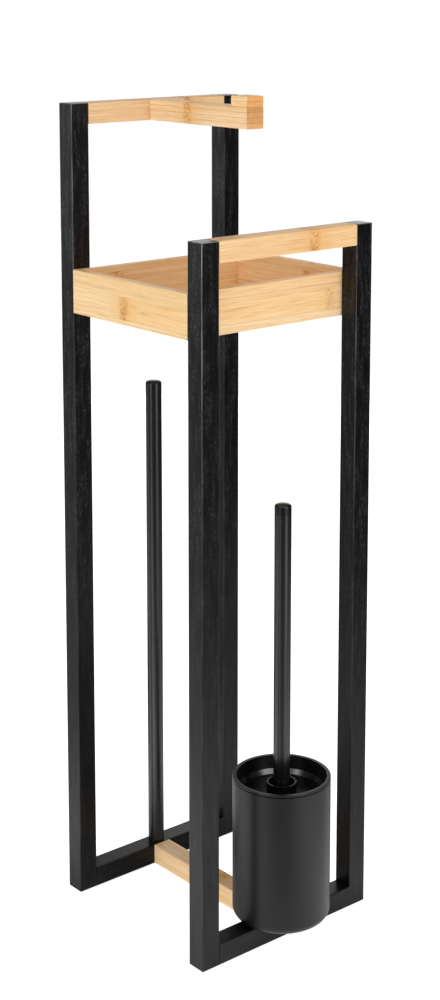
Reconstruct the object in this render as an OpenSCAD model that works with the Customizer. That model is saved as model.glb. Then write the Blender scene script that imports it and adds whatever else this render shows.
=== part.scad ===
// Free-standing toilet caddy: two post frames joined by a crossbar and a tray,
// with a holder arm on top, a storage pole at the back and a brush in a cup at the front.
// X runs along the rails, -Y is the brush side, Z is up and the floor is at zero.

/* [Frame] */
// Width over the posts
frame_w = 207; // [190:1:260]
// Depth over the posts
frame_d = 212; // [200:1:260]
// Side of the square posts and rails
bar = 20; // [18:0.5:24]
// Height of the rear posts above the floor
rear_h = 790; // [740:5:850]
// Height of the front posts above the floor
front_h = 680; // [670:5:720]
// Rounding of the edges of posts, rails and arm
edge_r = 1; // [0.4:0.1:1.6]
// Thickness of the foot pads
foot_t = 1.5; // [1:0.5:4]
// Diameter of the foot pads
foot_d = 14; // [10:1:17]

/* [Joints] */
// Diameter of the dowels between rails and posts
dowel_d = 6; // [5:0.5:7]
// Length of the dowels between rails and posts
dowel_len = 28; // [20:1:32]
// Distance between the two dowels of one rail end
dowel_pitch = 9; // [8:0.5:10]
// Diameter of the wood screws
screw_d = 4; // [3:0.5:5]
// Diameter of the wood screws' heads
screw_head_d = 8; // [7:0.5:9]
// Length of the wood screws
screw_len = 45; // [35:1:60]
// Distance between the two screws of one crossbar end or of the arm
screw_pitch = 12; // [10:0.5:13]

/* [Tray] */
// Height of the tray's lower edge above the floor
tray_z = 591; // [530:1:605]
// Height of the tray's walls
tray_h = 42; // [34:1:50]
// Thickness of the tray's walls
tray_wall = 8; // [7:0.5:10]
// Rounding of the tray walls' edges
tray_edge_r = 0.8; // [0.3:0.1:1.2]
// Thickness of the tray's base board
base_t = 4; // [4:0.5:6]
// Thickness of the base board's tongue
tongue_t = 3; // [2:0.5:3.5]
// Depth of the groove that holds the tongue
groove_depth = 3; // [2:0.5:4]
// Height of the groove above the walls' lower edge
groove_lift = 4; // [3:0.5:8]
// Diameter of the tray's dowels
tray_dowel_d = 4; // [3:0.5:5]
// Length of the tray's dowels
tray_dowel_len = 24; // [16:1:30]

/* [Holder arm] */
// Reach of the arm in front of the rear top rail
arm_len = 143; // [120:1:160]
// Length of the stop block along the arm
stop_len = 22; // [14:1:30]
// Height of the stop block above the arm
stop_h = 10; // [6:1:16]

/* [Storage pole] */
// Diameter of the pole
pole_d = 16; // [14:0.5:18]
// Wall of the pole's tube
pole_wall = 1; // [0.8:0.1:1.5]
// Length of the pole with its cap
pole_len = 487.5; // [400:2.5:540]
// Height of the pole cap's visible part
pole_cap_h = 3; // [2:0.5:6]
// Rounding of the pole cap's top edge
pole_cap_r = 1.5; // [0.5:0.1:2]
// Length of the plug in the pole's foot
pole_plug_len = 22; // [16:1:30]
// Diameter of the machine screw in the pole's foot
pole_screw_d = 5; // [4:0.5:6]
// Length of that screw
pole_screw_len = 34; // [30:1:38]

/* [Cup] */
// Outer diameter of the cup
cup_d = 93; // [88:1:100]
// Height of the cup up to its rim
cup_h = 140; // [132:1:160]
// Wall of the cup's steel shell
shell_t = 1.5; // [1:0.1:2]
// Rounding of the cup's lower edge
cup_foot_r = 9; // [4:0.5:11]
// Distance from the frame's front face back to the cup's axis
cup_inset = 8; // [6:0.5:12]
// Distance between the two screws that hold the cup on its rail
cup_screw_pitch = 44; // [30:1:50]
// Length of those screws
cup_screw_len = 18; // [14:1:20]
// Height of those screws' heads
cup_head_h = 2.8; // [2:0.1:3.5]
// Outer diameter of their washers
washer_d = 12; // [10:1:14]
// Thickness of their washers
washer_t = 1; // [0.8:0.1:1.5]

/* [Liner] */
// Wall of the plastic liner
liner_t = 1.8; // [1.4:0.1:2.2]
// Height of the liner's lip over the shell
lip_h = 2.8; // [2.2:0.1:4]
// Height of the shadow groove under the lip
lip_groove_h = 1; // [0.6:0.1:1.4]
// Width of the shadow groove under the lip
lip_groove_w = 1; // [0.6:0.1:1.2]
// Rounding of the lip's top edges
lip_r = 0.6; // [0.3:0.1:0.8]
// Width of the ledge that carries the lid
ledge_w = 2.2; // [1.6:0.1:3]
// Space between the shell's floor and the liner
liner_lift = 17.5; // [14:0.5:20]
// Draft of the liner from its ledge down to its floor
liner_draft = 1.2; // [0.4:0.1:2]
// Rounding of the liner's lower edge
liner_foot_r = 7; // [4:0.5:9]

/* [Brush] */
// Diameter of the handle tube
handle_d = 16; // [14:0.5:18]
// Wall of the handle tube
handle_wall = 1; // [0.8:0.1:1.5]
// Height of the handle's top above the cup's rim
handle_rise = 265; // [220:5:268]
// Height of the handle cap's visible part
handle_cap_h = 10; // [6:0.5:16]
// Rounding of the handle cap's top edge
handle_cap_r = 2.4; // [1:0.2:4]
// Depth of the lid's edge below the cup's rim
lid_drop = 13; // [8:0.5:16]
// Height of the lid's edge
lid_edge_h = 6; // [4.5:0.5:8]
// Thickness of the lid
lid_t = 2; // [1.4:0.1:2.6]
// Width of the sloping shoulder inside the lid's edge
lid_slope_w = 3.6; // [2:0.2:6]
// Width of the flat top of the lid's edge
lid_brow_w = 0.8; // [0.5:0.1:1.5]
// Outer diameter of the collar round the handle
collar_d = 28.4; // [26:0.2:34]
// Height of the collar above the lid's floor
collar_h = 10; // [6:0.5:12]
// Wall of the collar
collar_t = 1.8; // [1.2:0.1:2.4]
// Thickness of the lid's hub under the handle
hub_t = 3.5; // [3:0.5:5]
// Number of ribs between the collar and the handle
rib_count = 6; // [3:1:8]
// Thickness of those ribs
rib_t = 1.2; // [0.8:0.1:2]
// Height of those ribs above the hub
rib_h = 4.5; // [2:0.5:6]
// Diameter over the bristles
bristle_d = 72; // [60:1:74]
// Length of the bristled part
bristle_len = 76; // [60:1:80]
// Height of the brush above the liner's floor
brush_lift = 8; // [6:0.5:10]
// Thickness of one bristle strand
strand_d = 1.4; // [1:0.1:1.6]
// Number of rings of strands along the side
side_rings = 14; // [12:1:15]
// Number of strands in one of those rings
side_strands = 20; // [18:2:24]
// Wall of the sleeve that the strands stand in
sleeve_t = 1.2; // [1:0.1:1.6]
// Diameter of the brush head's core
core_d = 20; // [16:1:24]
// Length of the brush head's stem inside the handle
stem_len = 30; // [20:1:40]

/* [Fits] */
// Clearance round a dowel or screw in its hole, on the radius
hole_gap = 0.1; // [0.05:0.05:0.2]
// Clearance between a plug and its tube, on the radius
plug_gap = 0.1; // [0.05:0.05:0.2]
// Clearance between the tray's base board and the walls round it
board_gap = 0.15; // [0.1:0.05:0.3]
// Clearance between pieces that lift out and what they sit in
lift_gap = 0.3; // [0.2:0.05:0.5]

/* [Hidden] */

stain_black = "#262627";
bamboo = "#d8ab6b";
bamboo_pale = "#e2bb80";
dowel_wood = "#c79a62";
satin_black = "#2f3033";
plastic_black = "#1c1d1f";
gloss_black = "#17181a";
bristle_grey = "#e8e8e6";
zinc = "#a9acae";
rubber_grey = "#3a3a3a";

// Overrun of every cut beyond the face that it opens
over = 1;
// Facets of full circles
fine = 96;
small = 32;

// The origin is at the centre of the whole depth, cup included
overall_d = frame_d + cup_d / 2 - cup_inset;
rear_y = overall_d / 2;
front_y = rear_y - frame_d;
rear_post_y = rear_y - bar / 2;
front_post_y = front_y + bar / 2;
post_x = frame_w / 2 - bar / 2;
rail_len = frame_w - 2 * bar;
cross_len = frame_d - 2 * bar;
cross_mid_y = (rear_y + front_y) / 2;
bottom_mid_z = foot_t + bar / 2;
seat_z = foot_t + bar;

tray_top_z = tray_z + tray_h;
tray_rear_y = rear_y - bar;
tray_front_y = front_y + bar;
tray_dowel_shares = [0.28, 0.72];
board_z = tray_z + groove_lift;

arm_root_y = rear_y - bar;
arm_end_y = arm_root_y - arm_len;
arm_z = rear_h - bar;

cap_plug_len = handle_cap_h;
pole_top_z = seat_z + pole_len;
pole_tube_top_z = pole_top_z - pole_cap_h;

cup_y = front_y + cup_inset;
cup_r = cup_d / 2;
rim_z = seat_z + cup_h;
shell_top_z = rim_z - lip_h;
shell_in_r = cup_r - shell_t;
shell_floor_z = seat_z + shell_t;

liner_r = shell_in_r - lift_gap;
liner_in_r = liner_r - liner_t;
liner_z = shell_floor_z + liner_lift;
liner_floor_z = liner_z + liner_t;
lid_under_z = rim_z - lid_drop - lid_edge_h;
ledge_z = lid_under_z - lift_gap;
ledge_in_r = liner_in_r - ledge_w;
ledge_out_r = ledge_in_r + liner_t;
liner_foot_out_r = ledge_out_r - liner_draft;

lid_r = liner_in_r - lift_gap;
lid_floor_z = lid_under_z + lid_t;
lid_edge_z = lid_under_z + lid_edge_h;
hub_top_z = lid_under_z + hub_t;
collar_r = collar_d / 2;
collar_in_r = collar_r - collar_t;
collar_top_z = lid_floor_z + collar_h;

handle_r = handle_d / 2;
handle_in_r = handle_r - handle_wall;
handle_top_z = rim_z + handle_rise;
handle_tube_top_z = handle_top_z - handle_cap_h;
stem_r = handle_in_r - plug_gap;
brush_z = liner_floor_z + brush_lift;
bristle_top_z = brush_z + bristle_len;
bristle_r = bristle_d / 2;
core_r = core_d / 2;
// Rounding of the bristles' outline at both ends, and length of the bristles below the core
bristle_end_r = bristle_d / 6;
bristle_top_r = bristle_d / 12;
core_lift = bristle_d / 9;
core_low_z = brush_z + core_lift;
sleeve_r = core_r + plug_gap + sleeve_t;
sleeve_low_z = core_low_z - plug_gap - sleeve_t;
// Strands in each ring of the fan under the core, from the middle outwards
fan_strands = [6, 10, 14, 18];
fan_angle = 60;

// Outlines and plain solids

// Rectangle with rounded corners, centred
module round_rect(w, d, r) {
  square([w - 2 * r, d], center = true);
  square([w, d - 2 * r], center = true);
  for (x = [-1, 1], y = [-1, 1]) {
    translate([x * (w / 2 - r), y * (d / 2 - r)]) circle(r = r, $fn = small);
  }
}

// Bar along Z with rounded long edges and square ends, standing on zero
module milled_bar(w, d, h, r) {
  linear_extrude(height = h) round_rect(w, d, r);
}

// Bar along Z with all of its edges rounded, standing on zero
module eased_bar(w, d, h, r) {
  intersection() {
    milled_bar(w, d, h, r);
    translate([0, d / 2, h / 2]) rotate([90, 0, 0]) linear_extrude(height = d) round_rect(w, h, r);
    translate([-w / 2, 0, h / 2]) rotate([90, 0, 90]) linear_extrude(height = w) round_rect(d, h, r);
  }
}

// Rail along X, centred on a point
module rail(len, w, h, r) {
  translate([-len / 2, 0, 0]) rotate([90, 0, 90]) milled_bar(w, h, len, r);
}

// Bar along Y, from its rear end at zero towards the front
module bar_forward(len, w, h, r) {
  rotate([90, 0, 0]) milled_bar(w, h, len, r);
}

// Wood screw along Z, its head flush at zero and its point up
module wood_screw(d, head_d, len) {
  sink = (head_d - d) / 2;
  cylinder(r1 = head_d / 2, r2 = d / 2, h = sink, $fn = small);
  cylinder(r = d / 2, h = len - d, $fn = small);
  translate([0, 0, len - d]) cylinder(r1 = d / 2, r2 = d / 8, h = d, $fn = small);
}

// Hole for that screw
module screw_hole(d, head_d, len, gap) {
  sink = (head_d - d) / 2;
  translate([0, 0, -over]) cylinder(r = head_d / 2 + gap, h = over, $fn = small);
  cylinder(r1 = head_d / 2 + gap, r2 = d / 2 + gap, h = sink, $fn = small);
  cylinder(r = d / 2 + gap, h = len + gap, $fn = small);
}

// Ring profile between two radii and two heights
module ring_profile(r_in, r_out, z_low, z_high) {
  translate([r_in, z_low]) square([r_out - r_in, z_high - z_low]);
}

// Filled half profile of a round body with a rounded lower edge
module bowl_profile(r_top, r_low, z_low, z_high, r_edge) {
  polygon([
    [0, z_low], [r_low - r_edge, z_low], [r_low - r_edge, z_low + r_edge],
    [r_low, z_low + r_edge], [r_top, z_high], [0, z_high]
  ]);
  translate([r_low - r_edge, z_low + r_edge]) circle(r = r_edge, $fn = fine);
}

// Filled half profile of a round body with a rounded upper edge
module cap_profile(r, z_low, z_high, r_edge) {
  ring_profile(0, r, z_low, z_high - r_edge);
  ring_profile(0, r - r_edge, z_low, z_high);
  translate([r - r_edge, z_high - r_edge]) circle(r = r_edge, $fn = small);
}

// Holes that the dowels of the rails and the tray need

// One pair of dowels along X, centred on a joint face
module rail_dowel_pair(extra_r, extra_len) {
  for (z = [-1, 1]) {
    translate([-dowel_len / 2 - extra_len, 0, z * dowel_pitch / 2]) rotate([0, 90, 0])
      cylinder(r = dowel_d / 2 + extra_r, h = dowel_len + 2 * extra_len, $fn = small);
  }
}

// The pairs at both ends of one rail
module rail_dowels_at(y, z, extra_r, extra_len) {
  for (x = [-1, 1]) {
    translate([x * rail_len / 2, y, z]) rail_dowel_pair(extra_r, extra_len);
  }
}

// All the dowels of the four rails
module all_rail_dowels(extra_r, extra_len) {
  rail_dowels_at(rear_post_y, bottom_mid_z, extra_r, extra_len);
  rail_dowels_at(front_post_y, bottom_mid_z, extra_r, extra_len);
  rail_dowels_at(rear_post_y, rear_h - bar / 2, extra_r, extra_len);
  rail_dowels_at(front_post_y, front_h - bar / 2, extra_r, extra_len);
}

// All the dowels between the tray's side walls and the posts
module all_tray_dowels(extra_r, extra_len) {
  for (x = [-1, 1], y = [tray_front_y, tray_rear_y], share = tray_dowel_shares) {
    translate([x * (frame_w - tray_wall) / 2, y, tray_z + share * tray_h])
      translate([0, tray_dowel_len / 2 + extra_len, 0]) rotate([90, 0, 0])
        cylinder(r = tray_dowel_d / 2 + extra_r, h = tray_dowel_len + 2 * extra_len, $fn = small);
  }
}

// Frame

module post(x, y, h) {
  color(stain_black) difference() {
    translate([x * post_x, y, foot_t]) eased_bar(bar, bar, h - foot_t, edge_r);
    all_rail_dowels(hole_gap, hole_gap);
    all_tray_dowels(hole_gap, hole_gap);
  }
}

module rear_left_post() { post(-1, rear_post_y, rear_h); }

module rear_right_post() { post(1, rear_post_y, rear_h); }

module front_left_post() { post(-1, front_post_y, front_h); }

module front_right_post() { post(1, front_post_y, front_h); }

module rear_top_rail() {
  color(bamboo) difference() {
    translate([0, rear_post_y, rear_h - bar / 2]) rail(rail_len, bar, bar, edge_r);
    all_rail_dowels(hole_gap, hole_gap);
    arm_screw_places() screw_hole(screw_d, screw_head_d, screw_len, hole_gap);
  }
}

module front_top_rail() {
  color(bamboo) difference() {
    translate([0, front_post_y, front_h - bar / 2]) rail(rail_len, bar, bar, edge_r);
    all_rail_dowels(hole_gap, hole_gap);
  }
}

module rear_bottom_rail() {
  color(stain_black) difference() {
    translate([0, rear_post_y, bottom_mid_z]) rail(rail_len, bar, bar, edge_r);
    all_rail_dowels(hole_gap, hole_gap);
    crossbar_screw_places() screw_hole(screw_d, screw_head_d, screw_len, hole_gap);
    translate([0, rear_post_y, foot_t])
      screw_hole(pole_screw_d, 2 * pole_screw_d, pole_screw_len, hole_gap);
  }
}

module front_bottom_rail() {
  color(stain_black) difference() {
    translate([0, front_post_y, bottom_mid_z]) rail(rail_len, bar, bar, edge_r);
    all_rail_dowels(hole_gap, hole_gap);
    crossbar_screw_places() screw_hole(screw_d, screw_head_d, screw_len, hole_gap);
    cup_screw_places(shell_floor_z + washer_t - cup_screw_len - hole_gap)
      cylinder(r = screw_d / 2 + hole_gap, h = cup_screw_len, $fn = small);
  }
}

module crossbar() {
  color(bamboo) difference() {
    translate([0, tray_rear_y, bottom_mid_z]) bar_forward(cross_len, bar, bar, edge_r);
    crossbar_screw_places() screw_hole(screw_d, screw_head_d, screw_len, hole_gap);
  }
}

module foot_pads() {
  color(rubber_grey) for (x = [-post_x, post_x], y = [front_post_y, rear_post_y]) {
    translate([x, y, 0]) cylinder(r = foot_d / 2, h = foot_t, $fn = small);
  }
}

module rail_dowels() {
  color(dowel_wood) all_rail_dowels(0, 0);
}

// Two screws at each end of the crossbar, driven from the rails' outer faces
module crossbar_screw_places() {
  for (x = [-1, 1]) {
    translate([x * screw_pitch / 2, rear_y, bottom_mid_z]) rotate([90, 0, 0]) children();
    translate([x * screw_pitch / 2, front_y, bottom_mid_z]) rotate([-90, 0, 0]) children();
  }
}

module crossbar_screws() {
  color(zinc) crossbar_screw_places() wood_screw(screw_d, screw_head_d, screw_len);
}

// Tray

// Side wall along Y on the left (-1) or right (1), with the base board's groove
module tray_side_wall(x) {
  color(bamboo_pale) difference() {
    translate([x * (frame_w - tray_wall) / 2, tray_rear_y, tray_z + tray_h / 2])
      bar_forward(cross_len, tray_wall, tray_h, tray_edge_r);
    tray_groove();
    all_tray_dowels(hole_gap, hole_gap);
  }
}

// Cross wall along X at a given mid depth, between the side walls
module tray_cross_wall(y) {
  color(bamboo_pale) difference() {
    translate([0, y, tray_z + tray_h / 2])
      rail(frame_w - 2 * tray_wall, tray_wall, tray_h, tray_edge_r);
    tray_groove();
  }
}

// Board that reaches a given way past the walls' inner faces, grown in thickness by a clearance
module tray_board(reach, t, grow) {
  board_w = frame_w - 2 * tray_wall + 2 * reach;
  board_d = cross_len - 2 * tray_wall + 2 * reach;
  translate([-board_w / 2, cross_mid_y - board_d / 2, board_z - grow])
    cube([board_w, board_d, t + 2 * grow]);
}

// Groove round the inside of the walls for the base board's tongue
module tray_groove() {
  tray_board(groove_depth, tongue_t, board_gap);
}

module tray_left_wall() { tray_side_wall(-1); }

module tray_right_wall() { tray_side_wall(1); }

module tray_front_wall() { tray_cross_wall(tray_front_y + tray_wall / 2); }

module tray_rear_wall() { tray_cross_wall(tray_rear_y - tray_wall / 2); }

// The base board lies flush between the walls and is held by the tongue round its edge
module tray_base() {
  color(bamboo_pale) {
    tray_board(groove_depth - board_gap, tongue_t, 0);
    tray_board(-board_gap, base_t, 0);
  }
}

module tray_dowels() {
  color(dowel_wood) all_tray_dowels(0, 0);
}

// Holder arm

module holder_arm() {
  color(bamboo) difference() {
    translate([0, arm_root_y, arm_z + bar / 2]) bar_forward(arm_len, bar, bar, edge_r);
    arm_screw_places() screw_hole(screw_d, screw_head_d, screw_len, hole_gap);
  }
}

// Block glued on the arm's end, which keeps what hangs there from sliding off
module arm_stop() {
  color(bamboo) translate([0, arm_end_y + stop_len, rear_h + stop_h / 2])
    bar_forward(stop_len, bar, stop_h, edge_r);
}

module arm_screw_places() {
  for (x = [-1, 1]) {
    translate([x * screw_pitch / 2, rear_y, arm_z + bar / 2]) rotate([90, 0, 0]) children();
  }
}

module arm_screws() {
  color(zinc) arm_screw_places() wood_screw(screw_d, screw_head_d, screw_len);
}

// Storage pole

module storage_pole() {
  color(satin_black) translate([0, rear_post_y, 0]) rotate_extrude($fn = fine)
    ring_profile(pole_d / 2 - pole_wall, pole_d / 2, seat_z, pole_tube_top_z);
}

module pole_cap() {
  color(plastic_black) translate([0, rear_post_y, 0]) rotate_extrude($fn = fine) {
    cap_profile(pole_d / 2, pole_tube_top_z, pole_top_z, pole_cap_r);
    ring_profile(0, pole_d / 2 - pole_wall - plug_gap, pole_tube_top_z - cap_plug_len, pole_tube_top_z);
  }
}

module pole_plug() {
  color(plastic_black) translate([0, rear_post_y, 0]) rotate_extrude($fn = fine)
    ring_profile(
      pole_screw_d / 2 + hole_gap, pole_d / 2 - pole_wall - plug_gap, seat_z, seat_z + pole_plug_len
    );
}

module pole_screw() {
  color(zinc) translate([0, rear_post_y, foot_t])
    wood_screw(pole_screw_d, 2 * pole_screw_d, pole_screw_len);
}

// Cup and liner, turned round the cup's axis

module on_cup_axis() {
  translate([0, cup_y, 0]) rotate_extrude($fn = fine) children();
}

module cup_screw_places(z) {
  for (x = [-1, 1]) {
    translate([x * cup_screw_pitch / 2, front_post_y, z]) children();
  }
}

module cup_shell() {
  color(satin_black) difference() {
    on_cup_axis() difference() {
      intersection() {
        bowl_profile(cup_r, cup_r, seat_z, shell_top_z, cup_foot_r);
        ring_profile(0, cup_r, seat_z, shell_top_z);
      }
      bowl_profile(shell_in_r, shell_in_r, shell_floor_z, shell_top_z + over, cup_foot_r - shell_t);
      translate([-cup_r, seat_z - over]) square([cup_r, cup_h + 2 * over]);
    }
    cup_screw_places(seat_z - over)
      cylinder(r = screw_d / 2 + hole_gap, h = shell_t + 2 * over, $fn = small);
  }
}

module cup_washers() {
  color(zinc) cup_screw_places(shell_floor_z) difference() {
    cylinder(r = washer_d / 2, h = washer_t, $fn = small);
    translate([0, 0, -over]) cylinder(r = screw_d / 2 + hole_gap, h = washer_t + 2 * over, $fn = small);
  }
}

module cup_screws() {
  head_z = shell_floor_z + washer_t;
  color(zinc) cup_screw_places(head_z) rotate_extrude($fn = small) {
    cap_profile(screw_head_d / 2, 0, cup_head_h, cup_head_h / 2);
    ring_profile(0, screw_d / 2, screw_d - cup_screw_len, 0);
    polygon([[0, -cup_screw_len], [screw_d / 8, -cup_screw_len], [screw_d / 2, screw_d - cup_screw_len],
      [0, screw_d - cup_screw_len]]);
  }
}

// The liner hangs by its lip on the shell's edge and carries the lid on its ledge
module cup_liner() {
  neck_r = cup_r - lip_groove_w;
  lip_low_z = shell_top_z + lip_groove_h;
  color(plastic_black) on_cup_axis() difference() {
    union() {
      // Lip, with a shadow groove between it and the shell
      cap_profile(cup_r, lip_low_z, rim_z, lip_r);
      ring_profile(0, neck_r, shell_top_z + lift_gap, rim_z - lip_r);
      // Upper wall down to the ledge
      ring_profile(0, liner_r, ledge_z - liner_t, rim_z - lip_r);
      // Drafted lower wall and floor
      bowl_profile(ledge_out_r, liner_foot_out_r, liner_z, ledge_z, liner_foot_r);
    }
    ring_profile(-cup_r, liner_in_r, ledge_z, rim_z + over);
    bowl_profile(ledge_in_r, liner_foot_out_r - liner_t, liner_floor_z, ledge_z + over,
      liner_foot_r - liner_t);
    translate([-cup_r, liner_z - over]) square([cup_r, cup_h]);
  }
}

// Brush

// Dished lid that shuts the cup while the brush stands in it
module splash_lid() {
  color(gloss_black) {
    on_cup_axis() {
      polygon([
        [stem_r + plug_gap, lid_under_z], [lid_r, lid_under_z], [lid_r, lid_edge_z],
        [lid_r - lid_brow_w, lid_edge_z], [lid_r - lid_brow_w - lid_slope_w, lid_floor_z],
        [collar_r, lid_floor_z], [collar_r, collar_top_z], [collar_in_r, collar_top_z],
        [collar_in_r, hub_top_z], [stem_r + plug_gap, hub_top_z]
      ]);
    }
    for (i = [0 : rib_count - 1]) {
      translate([0, cup_y, hub_top_z]) rotate([0, 0, i * 360 / rib_count])
        translate([handle_r + plug_gap, -rib_t / 2, 0])
          cube([(collar_in_r + collar_r) / 2 - handle_r - plug_gap, rib_t, rib_h]);
    }
  }
}

module handle_tube() {
  color(satin_black) on_cup_axis()
    ring_profile(handle_in_r, handle_r, hub_top_z, handle_tube_top_z);
}

module handle_cap() {
  color(gloss_black) on_cup_axis() {
    cap_profile(handle_r, handle_tube_top_z, handle_top_z, handle_cap_r);
    ring_profile(0, handle_in_r - plug_gap, handle_tube_top_z - cap_plug_len, handle_tube_top_z);
  }
}

// Core that holds the bristles, with the neck under the lid and the stem in the handle
module brush_core() {
  color(plastic_black) on_cup_axis() {
    ring_profile(0, core_r, core_low_z, bristle_top_z);
    polygon([[0, bristle_top_z], [core_r, bristle_top_z], [handle_r, lid_under_z], [0, lid_under_z]]);
    ring_profile(0, stem_r, lid_under_z, hub_top_z + stem_len);
  }
}

// Radius of the bristles' outline at a height
function outline_r(z) =
  let (below = max(brush_z + bristle_end_r - z, 0), above = max(z - bristle_top_z + bristle_top_r, 0))
  bristle_r - bristle_end_r + sqrt(pow(bristle_end_r, 2) - pow(below, 2))
  - bristle_top_r + sqrt(pow(bristle_top_r, 2) - pow(above, 2));

// Height of a side ring's roots or tips, evenly spaced between two limits
function ring_z(i, z_low, z_high) = z_low + i / (side_rings - 1) * (z_high - z_low);

// One strand from its root to its tip, each given as distance from the axis and height
module strand(root, tip) {
  rise = atan2(tip.y - root.y, tip.x - root.x);
  translate([root.x, 0, root.y]) rotate([0, 90 - rise, 0])
    cylinder(r = strand_d / 2, h = norm(tip - root), $fn = 3);
}

module strand_ring(count, turn_share, root, tip) {
  for (k = [0 : count - 1]) {
    rotate([0, 0, (k + turn_share) * 360 / count]) strand(root, tip);
  }
}

// Rings along the side, each turned by half a step against the last
module side_bristles() {
  for (i = [0 : side_rings - 1]) {
    root_z = ring_z(i, sleeve_low_z + 2 * strand_d, bristle_top_z - 2 * strand_d);
    tip_z = ring_z(i, brush_z + bristle_end_r * sin(fan_angle), bristle_top_z - strand_d);
    strand_ring(side_strands, (i % 2) / 2, [sleeve_r - sleeve_t / 2, root_z], [outline_r(tip_z), tip_z]);
  }
}

// Rings that fan out below the core, their tips on a shallow dome
module end_bristles() {
  rings = len(fan_strands);
  for (j = [0 : rings - 1]) {
    share = (j + 0.7) / rings;
    tip_r = share * (bristle_r - bristle_end_r) + bristle_end_r * sin(share * fan_angle);
    tip_z = brush_z + bristle_end_r * (1 - cos(share * fan_angle));
    strand_ring(fan_strands[j], 0, [share * core_r, sleeve_low_z + sleeve_t / 2], [tip_r, tip_z]);
  }
}

// Bristle strands, fused to the sleeve that slides over the core
module bristles() {
  color(bristle_grey) translate([0, cup_y, 0]) difference() {
    union() {
      translate([0, 0, sleeve_low_z]) cylinder(r = sleeve_r, h = bristle_top_z - sleeve_low_z, $fn = fine);
      side_bristles();
      end_bristles();
    }
    translate([0, 0, core_low_z - plug_gap])
      cylinder(r = core_r + plug_gap, h = bristle_len, $fn = fine);
  }
}

rear_left_post();
rear_right_post();
front_left_post();
front_right_post();
rear_top_rail();
front_top_rail();
rear_bottom_rail();
front_bottom_rail();
crossbar();
foot_pads();
rail_dowels();
crossbar_screws();
tray_left_wall();
tray_right_wall();
tray_front_wall();
tray_rear_wall();
tray_base();
tray_dowels();
holder_arm();
arm_stop();
arm_screws();
storage_pole();
pole_cap();
pole_plug();
pole_screw();
cup_shell();
cup_screws();
cup_washers();
cup_liner();
splash_lid();
handle_tube();
handle_cap();
brush_core();
bristles();
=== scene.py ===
import math
import random

import bmesh
import bpy
from mathutils import Matrix, Vector


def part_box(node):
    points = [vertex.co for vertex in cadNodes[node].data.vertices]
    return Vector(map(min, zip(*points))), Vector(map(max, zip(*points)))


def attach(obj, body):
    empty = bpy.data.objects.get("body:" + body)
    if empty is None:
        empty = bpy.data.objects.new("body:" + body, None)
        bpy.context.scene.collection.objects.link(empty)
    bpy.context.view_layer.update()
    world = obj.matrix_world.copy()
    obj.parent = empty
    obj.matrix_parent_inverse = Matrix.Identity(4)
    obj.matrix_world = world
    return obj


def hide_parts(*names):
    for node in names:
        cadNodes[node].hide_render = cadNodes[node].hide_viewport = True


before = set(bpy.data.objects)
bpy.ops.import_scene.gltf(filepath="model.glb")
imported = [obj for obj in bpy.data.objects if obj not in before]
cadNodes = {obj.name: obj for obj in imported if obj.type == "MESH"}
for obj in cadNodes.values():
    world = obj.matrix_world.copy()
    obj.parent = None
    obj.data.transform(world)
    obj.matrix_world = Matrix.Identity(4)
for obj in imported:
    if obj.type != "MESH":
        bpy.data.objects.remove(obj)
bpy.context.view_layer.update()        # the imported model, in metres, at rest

scene = bpy.context.scene
scene.view_settings.view_transform = "Standard"
mm = 0.001
print("frame loaded:", len(cadNodes), "pieces")


def toLinear(hexColour):
    # sRGB hex to the linear values that the shaders want
    parts = [int(hexColour[i:i + 2], 16) / 255 for i in (1, 3, 5)]
    return tuple(p / 12.92 if p <= 0.04045 else ((p + 0.055) / 1.055) ** 2.4 for p in parts) + (1.0,)


def addNode(tree, kind, values=None, links=None, **settings):
    # one node, with its settings, socket values and incoming links; a linked node gives its first output.
    # Sockets by number: Map Range goes from 1, 2 to 3, 4, and Mix has its factor at 0, numbers at 2, 3
    # and colours at 6, 7 with the mixed colour at output 2
    made = tree.nodes.new(kind)
    for key, value in settings.items():
        setattr(made, key, value)
    for socket, value in (values or {}).items():
        made.inputs[socket].default_value = value
    for socket, source in (links or {}).items():
        output = source.outputs[0] if isinstance(source, bpy.types.Node) else source
        tree.links.new(output, made.inputs[socket])
    return made


# Camera, found by matching the corners of the frame in the picture
camera = dict(
    azimuth=-39.99,                      # degrees round the object, from the brush side
    elevation=8.67,
    distance=1.737,                      # metres to the point it looks at
    target=(0.0253, 0.0422, 0.6465),
    focal=1799,                          # pixels, in a picture 1000 pixels tall
    tall=1000,
    sensor=36.0,
    shiftY=-0.25,                        # the picture was framed well below its axis
    clipEnd=50,
)


def placeCamera(facts):
    data = bpy.data.cameras.new("viewCamera")
    made = bpy.data.objects.new("viewCamera", data)
    scene.collection.objects.link(made)
    turn, rise = math.radians(facts["azimuth"]), math.radians(facts["elevation"])
    back = Vector((math.sin(turn) * math.cos(rise), -math.cos(turn) * math.cos(rise), math.sin(rise)))
    made.location = Vector(facts["target"]) + back * facts["distance"]
    made.rotation_mode = "QUATERNION"
    made.rotation_quaternion = (-back).to_track_quat("-Z", "Y")
    data.sensor_width = facts["sensor"]
    data.lens = facts["focal"] / facts["tall"] * facts["sensor"]
    data.shift_y = facts["shiftY"]
    data.clip_end = facts["clipEnd"]
    scene.camera = made


placeCamera(camera)
print("camera placed")


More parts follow.
